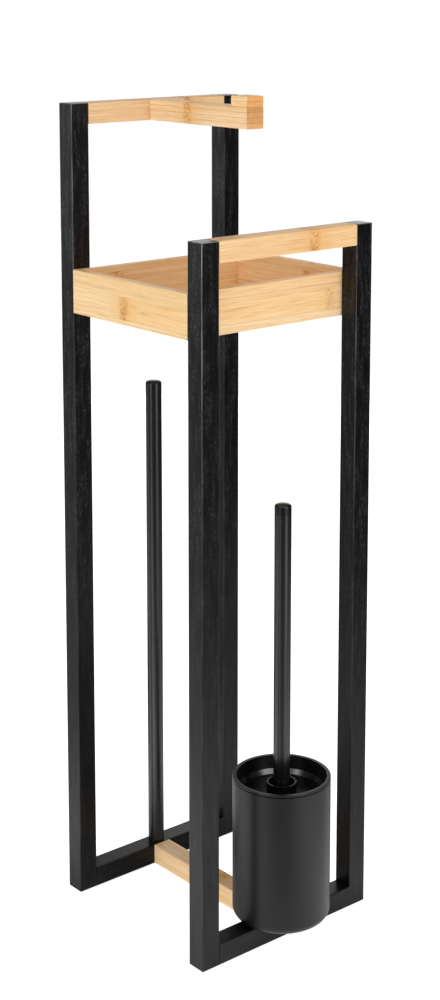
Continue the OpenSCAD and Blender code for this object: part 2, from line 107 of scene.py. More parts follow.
# Light: a pale room that lights the object softly, a white backdrop behind it, and soft boxes.
# What gloss shows of them: the backdrop and the near floor white, the rest of the room dim.
studio = dict(
    roomForDiffuse=0.26,                 # how strongly the room itself lights the object
    roomForGloss=0.16,                   # how bright gloss shows it, away from the backdrop
    backdropAt=(0.64, 0.77, 0.0),        # direction of the backdrop's middle
    backdropInside=0.975, backdropOutside=0.87,      # cosines: full white within, dim beyond
    backdropTop=(0.24, 0.38),            # sines of the rise at which it fades out
    roomColour="#ffffff",
    floorColour="#e6e6e6",
    floorGlow=0.86,                      # takes the floor to white, where it is looked at or mirrored
    floorBounce=0.60,                    # how much of that white lights the object from below
    whiteAt=(0.0, 0.10, 0.0),            # gloss shows the floor white round here, in metres
    whiteTo=0.35, dimFrom=1.3,
    mattShade=0.95,                      # how much of its lit white goes too, far from there
    # and less of it on the camera's side and under the object: middle, full to, gone from, how much
    shades=[((-0.20, -0.32, 0.0), 0.10, 0.30, 0.8), ((-0.45, -0.62, 0.0), 0.25, 0.65, 0.85),
            ((0.0, 0.05, 0.0), 0.08, 0.22, 0.8), ((0.42, -0.18, 0.0), 0.15, 0.36, 0.4),
            ((-0.08, 0.66, 0.0), 0.22, 0.40, 0.9), ((0.74, -0.02, 0.0), 0.22, 0.40, 0.9),
            ((0.46, -0.76, 0.0), 0.20, 0.45, 0.7)],
    # and more of it where the two large boxes light it
    shines=[((-0.32, -0.08, 0.0), 0.10, 0.34, 0.7), ((0.02, -0.42, 0.0), 0.10, 0.34, 0.6),
            ((-1.15, 0.0, 0.0), 0.20, 0.55, 2.1), ((0.15, -1.20, 0.0), 0.15, 0.45, 2.4),
            ((-1.15, 1.35, 0.0), 0.35, 1.00, 0.8)],
    floorSide=8.0,
)
lamps = [
    dict(name="leftBox", at=(-2.00, -0.20, 1.05), aim=(0, 0, 0.55), wide=0.5, tall=2.1, watts=18),
    dict(name="frontBox", at=(0.15, -2.05, 1.05), aim=(0, 0, 0.55), wide=0.7, tall=2.1, watts=21.5),
    dict(name="leftRearBox", at=(-1.45, 1.60, 0.65), aim=(0, 0, 0.45), wide=0.8, tall=0.8, watts=3),
    dict(name="rightRearBox", at=(1.6, 1.4, 0.45), aim=(0, 0, 0.35), wide=1.2, tall=0.9, watts=6),
    # from above, soft: it only lights, so that the lid stays black
    dict(name="overheadBox", at=(0.0, -0.1, 3.0), aim=(0, 0, 0.6), wide=1.8, tall=1.8, watts=12,
         mirrored=False),
    # this one is only mirrored, in the slope of the lid
    dict(name="topBox", at=(-0.52, -0.70, 1.95), aim=(0, -0.08, 0.15), wide=3.4, tall=0.35, watts=27,
         lights=False),
]


def addSeen(tree):
    # 1 where something is looked at, mirrored or seen through, 0 where it only lights
    rays = addNode(tree, "ShaderNodeLightPath")
    seen = addNode(tree, "ShaderNodeMath", operation="MAXIMUM",
                   links={0: rays.outputs["Is Camera Ray"], 1: rays.outputs["Is Glossy Ray"]})
    return addNode(tree, "ShaderNodeMath", operation="MAXIMUM",
                   links={0: seen, 1: rays.outputs["Is Transmission Ray"]})


def buildRoom(facts):
    world = bpy.data.worlds.new("whiteRoom")
    scene.world = world
    world.use_nodes = True
    tree = world.node_tree
    tree.nodes.clear()
    place = addNode(tree, "ShaderNodeTexCoord")
    level = addNode(tree, "ShaderNodeVectorMath", {1: (1, 1, 0)}, {0: place.outputs["Generated"]},
                    operation="MULTIPLY")
    level = addNode(tree, "ShaderNodeVectorMath", links={0: level}, operation="NORMALIZE")
    toBackdrop = addNode(tree, "ShaderNodeVectorMath", {1: Vector(facts["backdropAt"]).normalized()},
                         {0: level}, operation="DOT_PRODUCT")
    beside = addNode(tree, "ShaderNodeMapRange", {1: facts["backdropOutside"], 2: facts["backdropInside"]},
                     {0: toBackdrop.outputs["Value"]})
    rise = addNode(tree, "ShaderNodeSeparateXYZ", links={0: place.outputs["Generated"]})
    below = addNode(tree, "ShaderNodeMapRange", {1: facts["backdropTop"][1], 2: facts["backdropTop"][0]},
                    {0: rise.outputs["Z"]})
    inGloss = addNode(tree, "ShaderNodeMath", links={0: beside, 1: below}, operation="MULTIPLY")
    inGloss = addNode(tree, "ShaderNodeMapRange", {3: facts["roomForGloss"], 4: 1.0}, {0: inGloss})
    rays = addNode(tree, "ShaderNodeLightPath")
    inGloss = addNode(tree, "ShaderNodeMix", {2: 1.0}, {0: rays.outputs["Is Glossy Ray"], 3: inGloss},
                      data_type="FLOAT")
    strength = addNode(tree, "ShaderNodeMix", {2: facts["roomForDiffuse"]}, {0: addSeen(tree), 3: inGloss},
                       data_type="FLOAT")
    light = addNode(tree, "ShaderNodeBackground", {"Color": toLinear(facts["roomColour"])},
                    {"Strength": strength})
    addNode(tree, "ShaderNodeOutputWorld", links={"Surface": light})


def hangLamp(facts):
    data = bpy.data.lights.new(facts["name"], "AREA")
    data.shape = "RECTANGLE"
    data.size = facts["wide"]
    data.size_y = facts["tall"]
    data.energy = facts["watts"]
    made = bpy.data.objects.new(facts["name"], data)
    scene.collection.objects.link(made)
    made.location = facts["at"]
    made.rotation_euler = (Vector(facts["aim"]) - Vector(facts["at"])).to_track_quat("-Z", "Y").to_euler()
    made.visible_camera = False
    made.visible_diffuse = facts.get("lights", True)
    made.visible_glossy = facts.get("mirrored", True)


def layFloor(facts):
    half = facts["floorSide"] / 2
    mesh = bpy.data.meshes.new("floor")
    corners = [(-half, -half, 0), (half, -half, 0), (half, half, 0), (-half, half, 0)]
    mesh.from_pydata(corners, [], [(0, 1, 2, 3)])
    made = bpy.data.objects.new("floor", mesh)
    scene.collection.objects.link(made)
    material, tree = newMaterial("paleFloor")
    place = addNode(tree, "ShaderNodeTexCoord")
    rays = addNode(tree, "ShaderNodeLightPath")

    def spot(at, near, far, inside, outside):
        # a round place on the floor, which only gloss shows
        away = addNode(tree, "ShaderNodeVectorMath", {1: at}, {0: place.outputs["Object"]},
                       operation="DISTANCE")
        much = addNode(tree, "ShaderNodeMapRange", {1: near, 2: far, 3: inside, 4: outside},
                       {0: away.outputs["Value"]})
        return addNode(tree, "ShaderNodeMath", links={0: much, 1: rays.outputs["Is Glossy Ray"]},
                       operation="MULTIPLY")

    gone = spot(facts["whiteAt"], facts["whiteTo"], facts["dimFrom"], 0.0, 1.0)
    for at, near, far, much in facts["shades"]:
        gone = addNode(tree, "ShaderNodeMath", links={0: gone, 1: spot(at, near, far, much, 0.0)},
                       operation="MAXIMUM")
    kept = addNode(tree, "ShaderNodeMath", {0: 1.0}, {1: gone}, operation="SUBTRACT")
    for at, near, far, much in facts["shines"]:
        kept = addNode(tree, "ShaderNodeMath", links={0: kept, 1: spot(at, near, far, much, 0.0)},
                       operation="ADD")
    glow = addNode(tree, "ShaderNodeMapRange", {3: facts["floorBounce"], 4: facts["floorGlow"]},
                   {0: addSeen(tree)})
    glow = addNode(tree, "ShaderNodeMath", links={0: glow, 1: kept}, operation="MULTIPLY")
    paint = addNode(tree, "ShaderNodeMath", {1: facts["mattShade"]}, {0: gone}, operation="MULTIPLY")
    paint = addNode(tree, "ShaderNodeMix", {6: toLinear(facts["floorColour"]), 7: (0, 0, 0, 1)}, {0: paint},
                    data_type="RGBA")
    matt = addNode(tree, "ShaderNodeBsdfDiffuse", links={"Color": paint.outputs[2]})
    lift = addNode(tree, "ShaderNodeEmission", {"Color": (1, 1, 1, 1)}, {"Strength": glow})
    both = addNode(tree, "ShaderNodeAddShader", links={0: matt, 1: lift})
    addNode(tree, "ShaderNodeOutputMaterial", links={"Surface": both})
    mesh.materials.append(material)


# Materials
axisOf = {"x": 0, "y": 1, "z": 2}
ior = 1.5                                # lacquers, enamel, plastics and rubber are all close to this


def newMaterial(name):
    material = bpy.data.materials.new(name)
    material.use_nodes = True
    material.node_tree.nodes.clear()
    return material, material.node_tree


def closeMaterial(tree, facts, colour, roughness, height):
    # a fine relief, the surface shader and the output, last in every finish that isn't bare metal
    relief = addNode(tree, "ShaderNodeBump",
                     {"Strength": facts["bumpStrength"], "Distance": facts["bumpMm"] * mm},
                     {"Height": height})
    shader = addNode(tree, "ShaderNodeBsdfPrincipled",
                     {"IOR": ior, "Specular IOR Level": facts["specular"]},
                     {"Base Color": colour, "Roughness": roughness, "Normal": relief})
    addNode(tree, "ShaderNodeOutputMaterial", links={"Surface": shader})


def setRamp(ramp, stops):
    # stops are (position, hex colour), from the lowest up
    elements = ramp.color_ramp.elements
    while len(elements) < len(stops):
        elements.new(0.5)
    for element, (position, colour) in zip(elements, stops):
        element.position = position
        element.color = toLinear(colour)


def alongAxes(axes, values):
    # a vector with one value for each of a piece's own directions; axes names them, such as "zxy"
    made = [0.0, 0.0, 0.0]
    for axis, value in zip(axes, values):
        made[axisOf[axis]] = value
    return made


def inGrain(tree, place, axes, longMm, acrossMm):
    # the place counted in units of a pattern's length along the grain and its width across it
    rates = alongAxes(axes, (1 / (longMm * mm), 1 / (acrossMm * mm), 1 / (acrossMm * mm)))
    return addNode(tree, "ShaderNodeVectorMath", {1: rates}, {0: place}, operation="MULTIPLY")


buildRoom(studio)
for lamp in lamps:
    hangLamp(lamp)
layFloor(studio)
print("room, lamps and floor ready")


# Bamboo, glued up from strips, planed, sanded and clear lacquered: straight pale fibres with a
# silky sheen, strips of slightly different tone, curly brown knuckles and dotted ends
bamboo = dict(
    tones=((0.30, "#eabd88"), (0.50, "#f7d3a2"), (0.68, "#fde2bd")),     # fibres, from deep to pale
    # fibres are about 0.4 mm wide, too fine to show, so they are drawn coarser
    fibreMm=0.9, fibreLongMm=30, fibreShare=0.65,    # share of the tone, the rest comes from streaks
    streakMm=2.6, streakLongMm=150,
    stripDark=0.96, stripLight=1.03,     # the strips' tones are multiplied by these
    freshTint="#fff6e6",                 # and the warmest strips by this
    planedShare=0.01,                    # of a strip or layer, off either face of the board
    line="#b9763c", lineMm=6.5, lineLongMm=420, lineStrength=0.30,
    lineFrom=0.016, lineFull=0.003,      # how near to the middle of the noise a line shows
    glueMm=0.35, glueOnWide=0.3, glueOnNarrow=0.75,
    knuckle="#c8823a", knuckleHalfMm=5.6,
    knuckleFull=0.5, knuckleGone=1.5,    # in half widths from its middle
    dashMm=3.4, dashFrom=0.44, dashFull=0.56, dashStrength=0.85,
    glow="#f0b264", glowGone=4.5, glowStrength=0.50,     # the warm tone round a knuckle
    curlMm=4, swirlMm=1.8,               # size and reach of the fibres' swirls there
    sideFrom=0.6, sideFull=0.8,          # part of the normal at which a face looks that way
    endTint="#f4d9b8", endDark=0.66, endLight=1.08,
    dotMm=1.0, dotFull=0.12, dotGone=0.40, dotDark=0.86,
    roughness=0.38, smoother=0.05, rougher=0.08, specular=0.30,
    bumpMm=0.015, bumpStrength=0.5,
)


def makeBamboo(nodeName, grain, strip, strips=2, layers=2, start=bamboo["planedShare"], knuckles=(),
               depth=1.0, tint=None, shiftMm=(0, 0, 0)):
    # start is the share cut off the first strip, a knuckle is (share of the length, its strip or None
    # for all), and depth is how strongly the knuckles show
    facts = bamboo
    layer = next(a for a in "xyz" if a not in (grain, strip))
    axes = grain + strip + layer
    low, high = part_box(nodeName)
    longMm, stripMm, layerMm = [(high - low)[axisOf[a]] / mm for a in axes]
    material, tree = newMaterial("bamboo_" + nodeName)
    place = addNode(tree, "ShaderNodeTexCoord")
    share = addNode(tree, "ShaderNodeVectorMath", {1: low}, {0: place.outputs["Object"]},
                    operation="SUBTRACT")
    share = addNode(tree, "ShaderNodeVectorMath", {1: high - low}, {0: share}, operation="DIVIDE")
    kept = 1 - 2 * facts["planedShare"]
    counts = alongAxes(axes, (longMm, strips * kept, layers * kept))
    margins = alongAxes(axes, (0.0, start, facts["planedShare"]))
    cells = addNode(tree, "ShaderNodeVectorMath", {1: counts, 2: margins}, {0: share},
                    operation="MULTIPLY_ADD")
    cells = addNode(tree, "ShaderNodeSeparateXYZ", links={0: cells})
    alongMm, stripAt, layerAt = [cells.outputs[axisOf[a]] for a in axes]
    stripNumber = addNode(tree, "ShaderNodeMath", links={0: stripAt}, operation="FLOOR")
    layerNumber = addNode(tree, "ShaderNodeMath", links={0: layerAt}, operation="FLOOR")

    # where the knuckles are, and which length between two of them this is
    band = near = length = None
    halfMm = facts["knuckleHalfMm"]
    for at, number in knuckles:
        away = addNode(tree, "ShaderNodeMath", {1: at * longMm}, {0: alongMm}, operation="SUBTRACT")
        past = addNode(tree, "ShaderNodeMath", {1: 0.0}, {0: away}, operation="GREATER_THAN")
        away = addNode(tree, "ShaderNodeMath", links={0: away}, operation="ABSOLUTE")
        here = addNode(tree, "ShaderNodeMapRange",
                       {1: halfMm * facts["knuckleGone"], 2: halfMm * facts["knuckleFull"]}, {0: away})
        wider = addNode(tree, "ShaderNodeMapRange", {1: halfMm * facts["glowGone"], 2: 0.0}, {0: away})
        marks = [here, wider, past]
        if number is not None:
            mine = addNode(tree, "ShaderNodeMath", {1: number, 2: 0.5}, {0: stripNumber},
                           operation="COMPARE")
            marks = [addNode(tree, "ShaderNodeMath", links={0: mark, 1: mine}, operation="MULTIPLY")
                     for mark in marks]
        if band is not None:
            both = zip((band, near, length), marks, ("MAXIMUM", "MAXIMUM", "ADD"))
            marks = [addNode(tree, "ShaderNodeMath", links={0: before, 1: mark}, operation=how)
                     for before, mark, how in both]
        band, near, length = marks

    # the fibres, which swirl beside a knuckle
    moved = addNode(tree, "ShaderNodeVectorMath", {1: [v * mm for v in shiftMm]},
                    {0: place.outputs["Object"]}, operation="ADD")
    if near is not None:
        curl = addNode(tree, "ShaderNodeTexNoise", {"Scale": 1 / (facts["curlMm"] * mm), "Detail": 1.0},
                       {"Vector": moved})
        curl = addNode(tree, "ShaderNodeMath", {1: 0.5}, {0: curl}, operation="SUBTRACT")
        curl = addNode(tree, "ShaderNodeMath", links={0: curl, 1: near}, operation="MULTIPLY")
        swirl = facts["swirlMm"] * 2 * mm        # the curl goes half a unit either way
        push = addNode(tree, "ShaderNodeVectorMath", {0: alongAxes(axes, (0.0, swirl, swirl))},
                       {"Scale": curl}, operation="SCALE")
        moved = addNode(tree, "ShaderNodeVectorMath", links={0: moved, 1: push}, operation="ADD")
    fibres = addNode(tree, "ShaderNodeTexNoise", {"Scale": 1.0, "Detail": 2.0, "Roughness": 0.6},
                     {"Vector": inGrain(tree, moved, axes, facts["fibreLongMm"], facts["fibreMm"])})
    streaks = addNode(tree, "ShaderNodeTexNoise", {"Scale": 1.0, "Detail": 2.0},
                      {"Vector": inGrain(tree, moved, axes, facts["streakLongMm"], facts["streakMm"])})
    blend = addNode(tree, "ShaderNodeMath", {1: facts["fibreShare"]}, {0: fibres}, operation="MULTIPLY")
    blend = addNode(tree, "ShaderNodeMath", {1: 1 - facts["fibreShare"]}, {0: streaks, 2: blend},
                    operation="MULTIPLY_ADD")
    ramp = addNode(tree, "ShaderNodeValToRGB", links={0: blend})
    setRamp(ramp, facts["tones"])

    # one tone for each strip, layer and length
    seat = addNode(tree, "ShaderNodeCombineXYZ", {2: sum(shiftMm)}, {0: stripNumber, 1: layerNumber})
    if length is not None:
        tree.links.new(length.outputs[0], seat.inputs[2])
    chance = addNode(tree, "ShaderNodeTexWhiteNoise", links={"Vector": seat})
    tone = addNode(tree, "ShaderNodeMapRange", {3: facts["stripDark"], 4: facts["stripLight"]},
                   {0: chance.outputs["Value"]})
    toned = addNode(tree, "ShaderNodeMix", {0: 1.0}, {6: ramp, 7: tone},
                    data_type="RGBA", blend_type="MULTIPLY")
    warmth = addNode(tree, "ShaderNodeSeparateColor", links={0: chance.outputs["Color"]})
    toned = addNode(tree, "ShaderNodeMix", {7: toLinear(facts["freshTint"])},
                    {0: warmth.outputs["Green"], 6: toned.outputs[2]},
                    data_type="RGBA", blend_type="MULTIPLY")

    # now and then one darker vessel line along the grain
    lines = addNode(tree, "ShaderNodeTexNoise", {"Scale": 1.0, "Detail": 1.0},
                    {"Vector": inGrain(tree, moved, axes, facts["lineLongMm"], facts["lineMm"])})
    lines = addNode(tree, "ShaderNodeMath", {1: 0.5}, {0: lines}, operation="SUBTRACT")
    lines = addNode(tree, "ShaderNodeMath", links={0: lines}, operation="ABSOLUTE")
    lines = addNode(tree, "ShaderNodeMapRange",
                    {1: facts["lineFrom"], 2: facts["lineFull"], 4: facts["lineStrength"]}, {0: lines})

    # glue lines: between strips on the wide sides, between layers on the narrow sides and the ends
    facing = addNode(tree, "ShaderNodeVectorMath", links={0: place.outputs["Normal"]}, operation="ABSOLUTE")
    facing = addNode(tree, "ShaderNodeSeparateXYZ", links={0: facing})
    narrow, end = [addNode(tree, "ShaderNodeMapRange", {1: facts["sideFrom"], 2: facts["sideFull"]},
                           {0: facing.outputs[axisOf[a]]}) for a in (strip, grain)]
    glues = []
    for at, unitMm, strength in ((stripAt, stripMm / strips, facts["glueOnWide"]),
                                 (layerAt, layerMm / layers, facts["glueOnNarrow"])):
        part = addNode(tree, "ShaderNodeMath", links={0: at}, operation="FRACT")
        part = addNode(tree, "ShaderNodeMath", {1: 0.5}, {0: part}, operation="SUBTRACT")
        part = addNode(tree, "ShaderNodeMath", links={0: part}, operation="ABSOLUTE")
        glues.append(addNode(tree, "ShaderNodeMapRange",
                             {1: 0.5 - facts["glueMm"] / unitMm, 2: 0.5, 4: strength}, {0: part}))
    onNarrow = addNode(tree, "ShaderNodeMath", links={0: narrow, 1: end}, operation="MAXIMUM")
    glue = addNode(tree, "ShaderNodeMix", links={0: onNarrow, 2: glues[0], 3: glues[1]}, data_type="FLOAT")
    glue = addNode(tree, "ShaderNodeMath", links={0: glue, 1: lines}, operation="MAXIMUM")
    lined = addNode(tree, "ShaderNodeMix", {7: toLinear(facts["line"])}, {0: glue, 6: toned.outputs[2]},
                    data_type="RGBA")

    # the knuckles' warm tone and their short curly fibres
    if band is not None:
        dashes = addNode(tree, "ShaderNodeTexNoise",
                         {"Scale": 1 / (facts["dashMm"] * mm), "Detail": 1.5, "Distortion": 1.8},
                         {"Vector": moved})
        dashes = addNode(tree, "ShaderNodeMapRange",
                         {1: facts["dashFrom"], 2: facts["dashFull"], 4: facts["dashStrength"] * depth},
                         {0: dashes})
        knot = addNode(tree, "ShaderNodeMath", links={0: band, 1: dashes}, operation="MULTIPLY")
        warm = addNode(tree, "ShaderNodeMath", {1: facts["glowStrength"] * depth}, {0: near},
                       operation="MULTIPLY")
        for colour, much in (("glow", warm), ("knuckle", knot)):
            lined = addNode(tree, "ShaderNodeMix", {7: toLinear(facts[colour])},
                            {0: much, 6: lined.outputs[2]}, data_type="RGBA")

    # cut fibres as dots on the ends
    dots = addNode(tree, "ShaderNodeTexVoronoi", {"Scale": 1.0},
                   {"Vector": inGrain(tree, moved, axes, facts["fibreLongMm"], facts["dotMm"])})
    dots = addNode(tree, "ShaderNodeMapRange",
                   {1: facts["dotFull"], 2: facts["dotGone"], 3: facts["dotDark"], 4: 1.0},
                   {0: dots.outputs["Distance"]})
    tone = addNode(tree, "ShaderNodeMapRange", {3: facts["endDark"], 4: facts["endLight"]},
                   {0: chance.outputs["Value"]})
    dots = addNode(tree, "ShaderNodeMath", links={0: dots, 1: tone}, operation="MULTIPLY")
    cut = addNode(tree, "ShaderNodeMix", {7: toLinear(facts["endTint"])}, {0: end, 6: lined.outputs[2]},
                  data_type="RGBA", blend_type="MULTIPLY")
    cut = addNode(tree, "ShaderNodeMix", links={0: end, 6: cut.outputs[2], 7: dots},
                  data_type="RGBA", blend_type="MULTIPLY")
    if tint:
        cut = addNode(tree, "ShaderNodeMix", {0: 1.0, 7: toLinear(tint)}, {6: cut.outputs[2]},
                      data_type="RGBA", blend_type="MULTIPLY")
    roughness = addNode(tree, "ShaderNodeMapRange",
                        {3: facts["roughness"] - facts["smoother"], 4: facts["roughness"] + facts["rougher"]},
                        {0: fibres})
    closeMaterial(tree, facts, cut.outputs[2], roughness, blend)
    return material


# Wood stained black and lacquered satin: nearly black with short grey flecks along the grain,
# soft clouds, a bright sheen at low angles, and edges painted grey, partly as rubbed wear and partly as
# painted highlight
stainedWood = dict(
    tones=((0.36, "#040405"), (0.50, "#0a0a0c"), (0.62, "#161619")),     # stain, from deep to thin
    # pores are about 0.2 mm wide, too fine to show, so they are drawn coarser
    poreMm=0.5, poreLongMm=9, poreShare=0.55,        # share of the tone, the rest comes from clouds
    cloudMm=4.0, cloudLongMm=34,
    fleck="#48494b", fleckMm=0.6, fleckLongMm=2.8, fleckFrom=0.53, fleckFull=0.70,
    cloudFrom=0.42, cloudFull=0.62,      # the flecks lie in clouds as light as this
    evenTo=0.20, fleckedFrom=0.50, evenFlecks=0.15,      # metres up: fewer flecks near the floor
    edge="#a5a3a0", bendFrom=0.32, bendFull=0.48,    # grey painted on edges, partly rubbed wear and partly painted highlight; how far the normal turns on such an edge
    wearAndHighlightMm=60, wearAndHighlightFrom=0.40, wearAndHighlightFull=0.62, wearAndHighlightLeast=0.35,     # the painted grey, wear and highlight alike, is uneven, in large patches
    rimHighlight=0.5, rimFromMm=1.2, rimFullMm=0.4,       # the rim at the high end gets a painted highlight too
    roughness=0.32, smoother=0.08, rougher=0.10, specular=0.22,
    endRoughness=0.26, endFrom=0.6, endFull=0.9,     # ends drink more lacquer, so they are smoother
    bumpMm=0.02, bumpStrength=0.6,
)


def makeStainedWood(nodeName, grain, wornAndLit=(0.1, 0.1), shiftMm=(0, 0, 0)):
    # how far the long edges are painted grey, partly as rubbed wear and partly as painted highlight, at the
    # low and the high end
    facts = stainedWood
    low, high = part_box(nodeName)
    first, last = low[axisOf[grain]], high[axisOf[grain]]
    axes = grain + "xyz".replace(grain, "")
    material, tree = newMaterial("stained_" + nodeName)
    place = addNode(tree, "ShaderNodeTexCoord")
    moved = addNode(tree, "ShaderNodeVectorMath", {1: [v * mm for v in shiftMm]},
                    {0: place.outputs["Object"]}, operation="ADD")
    pores = addNode(tree, "ShaderNodeTexNoise", {"Scale": 1.0, "Detail": 3.0, "Roughness": 0.6},
                    {"Vector": inGrain(tree, moved, axes, facts["poreLongMm"], facts["poreMm"])})
    clouds = addNode(tree, "ShaderNodeTexNoise", {"Scale": 1.0, "Detail": 2.0},
                     {"Vector": inGrain(tree, moved, axes, facts["cloudLongMm"], facts["cloudMm"])})
    flecks = addNode(tree, "ShaderNodeTexNoise", {"Scale": 1.0, "Detail": 1.0, "Distortion": 0.5},
                     {"Vector": inGrain(tree, moved, axes, facts["fleckLongMm"], facts["fleckMm"])})
    blend = addNode(tree, "ShaderNodeMath", {1: facts["poreShare"]}, {0: pores}, operation="MULTIPLY")
    blend = addNode(tree, "ShaderNodeMath", {1: 1 - facts["poreShare"]}, {0: clouds, 2: blend},
                    operation="MULTIPLY_ADD")
    ramp = addNode(tree, "ShaderNodeValToRGB", links={0: blend})
    setRamp(ramp, facts["tones"])

    # flecks where the stain is thin, more in the light clouds
    thin = addNode(tree, "ShaderNodeMapRange", {1: facts["fleckFrom"], 2: facts["fleckFull"]}, {0: flecks})
    light = addNode(tree, "ShaderNodeMapRange", {1: facts["cloudFrom"], 2: facts["cloudFull"]}, {0: clouds})
    placeParts = addNode(tree, "ShaderNodeSeparateXYZ", links={0: place.outputs["Object"]})
    height = addNode(tree, "ShaderNodeMapRange",
                     {1: facts["evenTo"], 2: facts["fleckedFrom"], 3: facts["evenFlecks"], 4: 1.0},
                     {0: placeParts.outputs["Z"]})
    for much in (light, height):
        thin = addNode(tree, "ShaderNodeMath", links={0: thin, 1: much}, operation="MULTIPLY")
    flecked = addNode(tree, "ShaderNodeMix", {7: toLinear(facts["fleck"])}, {0: thin, 6: ramp},
                      data_type="RGBA")

    # edges painted grey, partly rubbed wear and partly painted highlight: there two parts of the normal are
    # large at once
    facing = addNode(tree, "ShaderNodeVectorMath", links={0: place.outputs["Normal"]}, operation="ABSOLUTE")
    parts = addNode(tree, "ShaderNodeSeparateXYZ", links={0: facing})
    turned = addNode(tree, "ShaderNodeCombineXYZ",
                     links={0: parts.outputs["Y"], 1: parts.outputs["Z"], 2: parts.outputs["X"]})
    bent = addNode(tree, "ShaderNodeVectorMath", links={0: facing, 1: turned}, operation="DOT_PRODUCT")
    bent = addNode(tree, "ShaderNodeMapRange", {1: facts["bendFrom"], 2: facts["bendFull"]},
                   {0: bent.outputs["Value"]})
    wearAndHighlight = addNode(tree, "ShaderNodeTexNoise", {"Scale": 1.0, "Detail": 3.0},
                   {"Vector": inGrain(tree, moved, axes, facts["wearAndHighlightMm"], facts["wearAndHighlightMm"])})
    wearAndHighlight = addNode(tree, "ShaderNodeMapRange",
                   {1: facts["wearAndHighlightFrom"], 2: facts["wearAndHighlightFull"], 3: facts["wearAndHighlightLeast"], 4: 1.0}, {0: wearAndHighlight})
    along = placeParts.outputs[axisOf[grain]]
    rubbedAndLit = addNode(tree, "ShaderNodeMapRange", {1: (first + last) / 2, 2: last, 3: wornAndLit[0], 4: wornAndLit[1]},
                     {0: along}, interpolation_type="SMOOTHSTEP")
    # a painted highlight along the rim at the high end
    rim = addNode(tree, "ShaderNodeMapRange",
                  {1: last - facts["rimFromMm"] * mm, 2: last - facts["rimFullMm"] * mm, 4: facts["rimHighlight"]},
                  {0: along})
    rubbedAndLit = addNode(tree, "ShaderNodeMath", links={0: rubbedAndLit, 1: rim}, operation="MAXIMUM")
    for much in (bent, rubbedAndLit):
        wearAndHighlight = addNode(tree, "ShaderNodeMath", links={0: wearAndHighlight, 1: much}, operation="MULTIPLY")
    edgesWornAndLit = addNode(tree, "ShaderNodeMix", {7: toLinear(facts["edge"])}, {0: wearAndHighlight, 6: flecked.outputs[2]},
                   data_type="RGBA")

    roughness = addNode(tree, "ShaderNodeMapRange",
                        {3: facts["roughness"] + facts["rougher"], 4: facts["roughness"] - facts["smoother"]},
                        {0: clouds})
    end = addNode(tree, "ShaderNodeMapRange", {1: facts["endFrom"], 2: facts["endFull"]},
                  {0: parts.outputs[axisOf[grain]]})
    roughness = addNode(tree, "ShaderNodeMix", {3: facts["endRoughness"]}, {0: end, 2: roughness},
                        data_type="FLOAT")
    closeMaterial(tree, facts, edgesWornAndLit.outputs[2], roughness, blend)
    return material


# Coated or moulded surfaces: one colour with a faint cloud, and a fine relief
coating = dict(cloudsPerMetre=28.0, darkTo=0.35, lightFrom=0.65, bumpStrength=0.5)
finishes = {
    # steel with a fine black powder coat: soft sheen and a barely visible orange peel
    "powderCoatedSteel": dict(dark="#101012", light="#151517", grainMm=0.9, bumpMm=0.02, roughness=0.37,
                              spread=0.03, specular=0.31),
    # steel tube with a smoother black stove enamel: two clear streaks of light along it
    "stoveEnamelledSteel": dict(dark="#0f0f10", light="#131314", grainMm=0.7, bumpMm=0.002, roughness=0.26,
                                spread=0.01, specular=0.68),
    # polypropylene moulded black: satin, even, with soft edges
    "mouldedPolypropylene": dict(dark="#111112", light="#161617", grainMm=0.7, bumpMm=0.012, roughness=0.34,
                                 spread=0.05, specular=0.32),
    # ABS from a polished mould: deep black and glossy
    "polishedAbs": dict(dark="#080809", light="#0c0c0d", grainMm=6.0, bumpMm=0.01, roughness=0.20,
                        spread=0.04, specular=0.5),
    # ABS, moulded and tumbled: the same black, less glossy
    "tumbledAbs": dict(dark="#0d0d0e", light="#111112", grainMm=1.2, bumpMm=0.004, roughness=0.31,
                       spread=0.02, specular=0.4),
    # rubber, pressed: dark grey and matt
    "pressedRubber": dict(dark="#1b1b1b", light="#262626", grainMm=0.5, bumpMm=0.03, roughness=0.8,
                          spread=0.08, specular=0.3),
    # nylon filament, drawn: off-white and slightly milky
    "drawnNylon": dict(dark="#dedfdc", light="#f0f0ee", grainMm=1.5, bumpMm=0.01, roughness=0.42,
                       spread=0.08, specular=0.5),
    # beech dowel, turned and left raw: plain, light brown and matt
    "turnedBeech": dict(dark="#c79a66", light="#dbb382", grainMm=0.8, bumpMm=0.03, roughness=0.6,
                        spread=0.1, specular=0.4),
}


def makeFinish(name):
    facts = {**coating, **finishes[name]}
    material, tree = newMaterial(name)
    place = addNode(tree, "ShaderNodeTexCoord")
    # a lump of the relief and the hollow beside it are one unit of the noise
    grain = addNode(tree, "ShaderNodeTexNoise", {"Scale": 1 / (2 * facts["grainMm"] * mm), "Detail": 2.0},
                    {"Vector": place.outputs["Object"]})
    cloud = addNode(tree, "ShaderNodeTexNoise", {"Scale": facts["cloudsPerMetre"], "Detail": 3.0},
                    {"Vector": place.outputs["Object"]})
    ramp = addNode(tree, "ShaderNodeValToRGB", links={0: cloud})
    setRamp(ramp, ((facts["darkTo"], facts["dark"]), (facts["lightFrom"], facts["light"])))
    roughness = addNode(tree, "ShaderNodeMapRange",
                        {3: facts["roughness"] - facts["spread"], 4: facts["roughness"] + facts["spread"]},
                        {0: grain})
    closeMaterial(tree, facts, ramp, roughness, grain)
    return material


# Zinc plating on turned steel screws: cool grey with faint cloudy patches
zinc = dict(dark="#8d9195", darkTo=0.35, light="#b9bdc1", lightFrom=0.65, patchMm=1.8,
            roughness=0.34, smoother=0.08, rougher=0.1)


